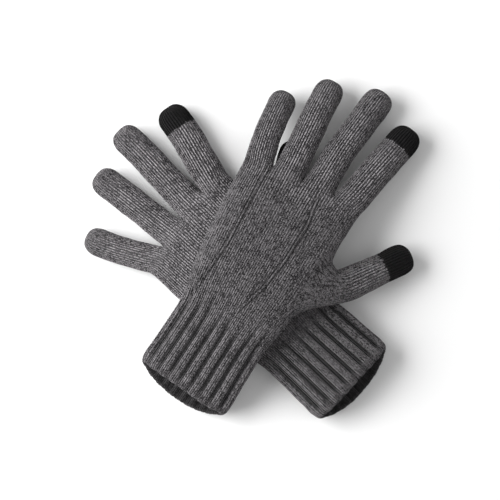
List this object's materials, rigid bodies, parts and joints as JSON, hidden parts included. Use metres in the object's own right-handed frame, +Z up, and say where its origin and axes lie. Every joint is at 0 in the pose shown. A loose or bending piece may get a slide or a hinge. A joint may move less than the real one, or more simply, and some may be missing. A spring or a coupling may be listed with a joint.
{
  "type": "touchscreen gloves",
  "caption": "Pair of knitted gloves with ribbed cuffs and black touchscreen tips on index finger and thumb, one laid across the other.",
  "frame": {"origin": "on the table surface, at the middle of the pair's plan", "axes": "+Y from the left glove's cuff to its fingertips, +Z up from the table"},
  "size_m": [0.2464, 0.2588, 0.0465],
  "materials": {
    "grey_yarn": "matt heathered charcoal grey knit, brushed",
    "edge_yarn": "matt overcast edge in the same yarn, a little darker",
    "black_conductive_yarn": "matt black knit of conductive yarn"
  },
  "bodies": {
    "right_hand": {"right_hand": "grey_yarn"},
    "left_hand": {"left_hand": "grey_yarn"},
    "right_cuff": {"right_cuff": "grey_yarn", "right_cuff_edge": "edge_yarn"},
    "right_little_proximal": {"right_little_proximal": "grey_yarn"},
    "right_little_middle": {"right_little_middle": "grey_yarn"},
    "right_little_distal": {"right_little_distal": "grey_yarn"},
    "right_ring_proximal": {"right_ring_proximal": "grey_yarn"},
    "right_ring_middle": {"right_ring_middle": "grey_yarn"},
    "right_ring_distal": {"right_ring_distal": "grey_yarn"},
    "right_middle_proximal": {"right_middle_proximal": "grey_yarn"},
    "right_middle_middle": {"right_middle_middle": "grey_yarn"},
    "right_middle_distal": {"right_middle_distal": "grey_yarn"},
    "right_index_proximal": {"right_index_proximal": "grey_yarn"},
    "right_index_middle": {"right_index_middle": "grey_yarn"},
    "right_index_distal": {"right_index_distal": "grey_yarn", "right_index_touch_tip": "black_conductive_yarn"},
    "right_thumb_proximal": {"right_thumb_proximal": "grey_yarn"},
    "right_thumb_distal": {"right_thumb_distal": "grey_yarn", "right_thumb_touch_tip": "black_conductive_yarn"},
    "left_cuff": {"left_cuff": "grey_yarn", "left_cuff_edge": "edge_yarn"},
    "left_little_proximal": {"left_little_proximal": "grey_yarn"},
    "left_little_middle": {"left_little_middle": "grey_yarn"},
    "left_little_distal": {"left_little_distal": "grey_yarn"},
    "left_ring_proximal": {"left_ring_proximal": "grey_yarn"},
    "left_ring_middle": {"left_ring_middle": "grey_yarn"},
    "left_ring_distal": {"left_ring_distal": "grey_yarn"},
    "left_middle_proximal": {"left_middle_proximal": "grey_yarn"},
    "left_middle_middle": {"left_middle_middle": "grey_yarn"},
    "left_middle_distal": {"left_middle_distal": "grey_yarn"},
    "left_index_proximal": {"left_index_proximal": "grey_yarn"},
    "left_index_middle": {"left_index_middle": "grey_yarn"},
    "left_index_distal": {"left_index_distal": "grey_yarn", "left_index_touch_tip": "black_conductive_yarn"},
    "left_thumb_proximal": {"left_thumb_proximal": "grey_yarn"},
    "left_thumb_distal": {"left_thumb_distal": "grey_yarn", "left_thumb_touch_tip": "black_conductive_yarn"}
  },
  "joints": [
    {"name": "left_glove_lift", "type": "slide", "parent": "right_hand", "child": "left_hand", "axis": [0, 0, 1], "range_m": [0, 0.15]},
    {"name": "right_wrist", "type": "hinge", "parent": "right_hand", "child": "right_cuff", "pos_m": [0.06476, -0.04699, 0.0218], "axis": [-0.1564, -0.9877, 0], "range_deg": [0, 60]},
    {"name": "right_little_knuckle", "type": "hinge", "parent": "right_hand", "child": "right_little_proximal", "pos_m": [-0.04838, -0.05985, 0.0141], "axis": [-0.1513, 0.9885, 0], "range_deg": [0, 70]},
    {"name": "right_little_middle", "type": "hinge", "parent": "right_little_proximal", "child": "right_little_middle", "pos_m": [-0.06704, -0.06628, 0.0141], "axis": [-0.309, 0.9511, 0], "range_deg": [0, 90]},
    {"name": "right_little_end", "type": "hinge", "parent": "right_little_middle", "child": "right_little_distal", "pos_m": [-0.08098, -0.07054, 0.0141], "axis": [-0.2756, 0.9613, 0], "range_deg": [0, 59]},
    {"name": "right_ring_knuckle", "type": "hinge", "parent": "right_hand", "child": "right_ring_proximal", "pos_m": [-0.04786, -0.03781, 0.0151], "axis": [0.0488, 0.9988, 0], "range_deg": [0, 80]},
    {"name": "right_ring_middle", "type": "hinge", "parent": "right_ring_proximal", "child": "right_ring_middle", "pos_m": [-0.07585, -0.03586, 0.0151], "axis": [0.0741, 0.9973, 0], "range_deg": [0, 90]},
    {"name": "right_ring_end", "type": "hinge", "parent": "right_ring_middle", "child": "right_ring_distal", "pos_m": [-0.0957, -0.03429, 0.0151], "axis": [0.0828, 0.9966, 0], "range_deg": [0, 59]},
    {"name": "right_middle_knuckle", "type": "hinge", "parent": "right_hand", "child": "right_middle_proximal", "pos_m": [-0.04725, -0.01483, 0.0153], "axis": [0.127, 0.9919, 0], "range_deg": [0, 80]},
    {"name": "right_middle_middle", "type": "hinge", "parent": "right_middle_proximal", "child": "right_middle_middle", "pos_m": [-0.07753, -0.00783, 0.0153], "axis": [0.2334, 0.9724, 0], "range_deg": [0, 90]},
    {"name": "right_middle_end", "type": "hinge", "parent": "right_middle_middle", "child": "right_middle_distal", "pos_m": [-0.09959, -0.00233, 0.0153], "axis": [0.2462, 0.9692, 0], "range_deg": [0, 59]},
    {"name": "right_index_knuckle", "type": "hinge", "parent": "right_hand", "child": "right_index_proximal", "pos_m": [-0.04666, 0.00898, 0.0153], "axis": [0.2342, 0.9722, 0], "range_deg": [0, 80]},
    {"name": "right_index_middle", "type": "hinge", "parent": "right_index_proximal", "child": "right_index_middle", "pos_m": [-0.0684, 0.01934, 0.0153], "axis": [0.4305, 0.9026, 0], "range_deg": [0, 90]},
    {"name": "right_index_end", "type": "hinge", "parent": "right_index_middle", "child": "right_index_distal", "pos_m": [-0.08509, 0.0273, 0.0153], "axis": [0.4266, 0.9045, 0], "range_deg": [0, 59]},
    {"name": "right_thumb_root", "type": "hinge", "parent": "right_hand", "child": "right_thumb_proximal", "pos_m": [-0.00439, 0.01505, 0.0077], "axis": [0, 0, 1], "range_deg": [0, 20]},
    {"name": "right_thumb_end", "type": "hinge", "parent": "right_thumb_proximal", "child": "right_thumb_distal", "pos_m": [-0.01527, 0.03465, 0.0077], "axis": [0, 0, 1], "range_deg": [0, 40]},
    {"name": "left_wrist", "type": "hinge", "parent": "left_hand", "child": "left_cuff", "pos_m": [0.01814, -0.07351, 0.04206], "axis": [-1, 0, 0], "range_deg": [0, 60]},
    {"name": "left_little_knuckle", "type": "hinge", "parent": "left_hand", "child": "left_little_proximal", "pos_m": [-0.02569, 0.03636, 0.0306], "axis": [0.9765, 0.2156, 0], "range_deg": [0, 70]},
    {"name": "left_little_middle", "type": "hinge", "parent": "left_little_proximal", "child": "left_little_middle", "pos_m": [-0.03239, 0.0578, 0.02951], "axis": [0.9654, 0.2608, 0], "range_deg": [0, 90]},
    {"name": "left_little_end", "type": "hinge", "parent": "left_little_middle", "child": "left_little_distal", "pos_m": [-0.03592, 0.07407, 0.02202], "axis": [0.9763, 0.2164, 0], "range_deg": [0, 59]},
    {"name": "left_ring_knuckle", "type": "hinge", "parent": "left_hand", "child": "left_ring_proximal", "pos_m": [-0.00385, 0.03945, 0.03159], "axis": [0.9898, 0.1427, 0], "range_deg": [0, 80]},
    {"name": "left_ring_middle", "type": "hinge", "parent": "left_ring_proximal", "child": "left_ring_middle", "pos_m": [-0.00889, 0.07118, 0.02896], "axis": [0.9873, 0.159, 0], "range_deg": [0, 90]},
    {"name": "left_ring_end", "type": "hinge", "parent": "left_ring_middle", "child": "left_ring_distal", "pos_m": [-0.01255, 0.09353, 0.0218], "axis": [0.9866, 0.1633, 0], "range_deg": [0, 59]},
    {"name": "left_middle_knuckle", "type": "hinge", "parent": "left_hand", "child": "left_middle_proximal", "pos_m": [0.01893, 0.04278, 0.03177], "axis": [0.9955, 0.0953, 0], "range_deg": [0, 80]},
    {"name": "left_middle_middle", "type": "hinge", "parent": "left_middle_proximal", "child": "left_middle_middle", "pos_m": [0.01684, 0.07847, 0.02567], "axis": [0.9999, 0.0132, 0], "range_deg": [0, 90]},
    {"name": "left_middle_end", "type": "hinge", "parent": "left_middle_middle", "child": "left_middle_distal", "pos_m": [0.01782, 0.10408, 0.02036], "axis": [0.9988, -0.048, 0], "range_deg": [0, 59]},
    {"name": "left_index_knuckle", "type": "hinge", "parent": "left_hand", "child": "left_index_proximal", "pos_m": [0.04258, 0.04602, 0.03176], "axis": [0.9998, 0.022, 0], "range_deg": [0, 80]},
    {"name": "left_index_middle", "type": "hinge", "parent": "left_index_proximal", "child": "left_index_middle", "pos_m": [0.04521, 0.07483, 0.02612], "axis": [0.9945, -0.1044, 0], "range_deg": [0, 90]},
    {"name": "left_index_end", "type": "hinge", "parent": "left_index_middle", "child": "left_index_distal", "pos_m": [0.04788, 0.09623, 0.0206], "axis": [0.9914, -0.1306, 0], "range_deg": [0, 59]},
    {"name": "left_thumb_root", "type": "hinge", "parent": "left_hand", "child": "left_thumb_proximal", "pos_m": [0.06069, 0.00091, 0.0247], "axis": [0, 0, 1], "range_deg": [0, 20]},
    {"name": "left_thumb_end", "type": "hinge", "parent": "left_thumb_proximal", "child": "left_thumb_distal", "pos_m": [0.07276, 0.02247, 0.0165], "axis": [0, 0, 1], "range_deg": [0, 40]}
  ],
  "couplings": [
    {"joint": "right_little_end", "follows": "right_little_middle", "ratio": 0.65},
    {"joint": "right_ring_end", "follows": "right_ring_middle", "ratio": 0.65},
    {"joint": "right_middle_end", "follows": "right_middle_middle", "ratio": 0.65},
    {"joint": "right_index_end", "follows": "right_index_middle", "ratio": 0.65},
    {"joint": "left_little_end", "follows": "left_little_middle", "ratio": 0.65},
    {"joint": "left_ring_end", "follows": "left_ring_middle", "ratio": 0.65},
    {"joint": "left_middle_end", "follows": "left_middle_middle", "ratio": 0.65},
    {"joint": "left_index_end", "follows": "left_index_middle", "ratio": 0.65}
  ]
}
